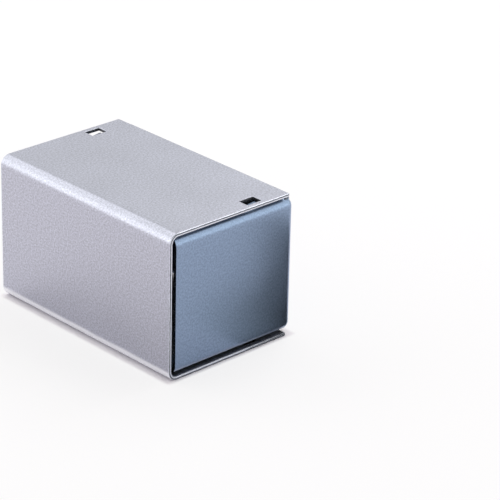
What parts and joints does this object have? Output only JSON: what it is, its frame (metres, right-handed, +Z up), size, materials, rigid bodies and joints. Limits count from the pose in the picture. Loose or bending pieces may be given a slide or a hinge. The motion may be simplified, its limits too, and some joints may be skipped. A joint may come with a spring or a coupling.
{
  "type": "aluminium enclosure",
  "caption": "Folded aluminium sheet box: a U-shaped cover with snap slots pushes over a U-shaped base whose end panels have folded lips with spring tongues.",
  "frame": {"origin": "on the resting surface, under the middle of the box", "axes": "+Z up with the box lying on one leg of its cover, +Y along the cover's bends, +X from the cover's web to the base's web"},
  "size_m": [0.0462, 0.072, 0.0436],
  "materials": {
    "cover_aluminium": "satin, fine matt grain",
    "base_aluminium": "satin, fine rolled grain"
  },
  "bodies": {
    "base": {"base": "base_aluminium"},
    "cover": {"cover": "cover_aluminium"}
  },
  "joints": [
    {"name": "cover_slide", "type": "slide", "parent": "base", "child": "cover", "axis": [-1, 0, 0], "range_m": [0, 0.05]}
  ]
}
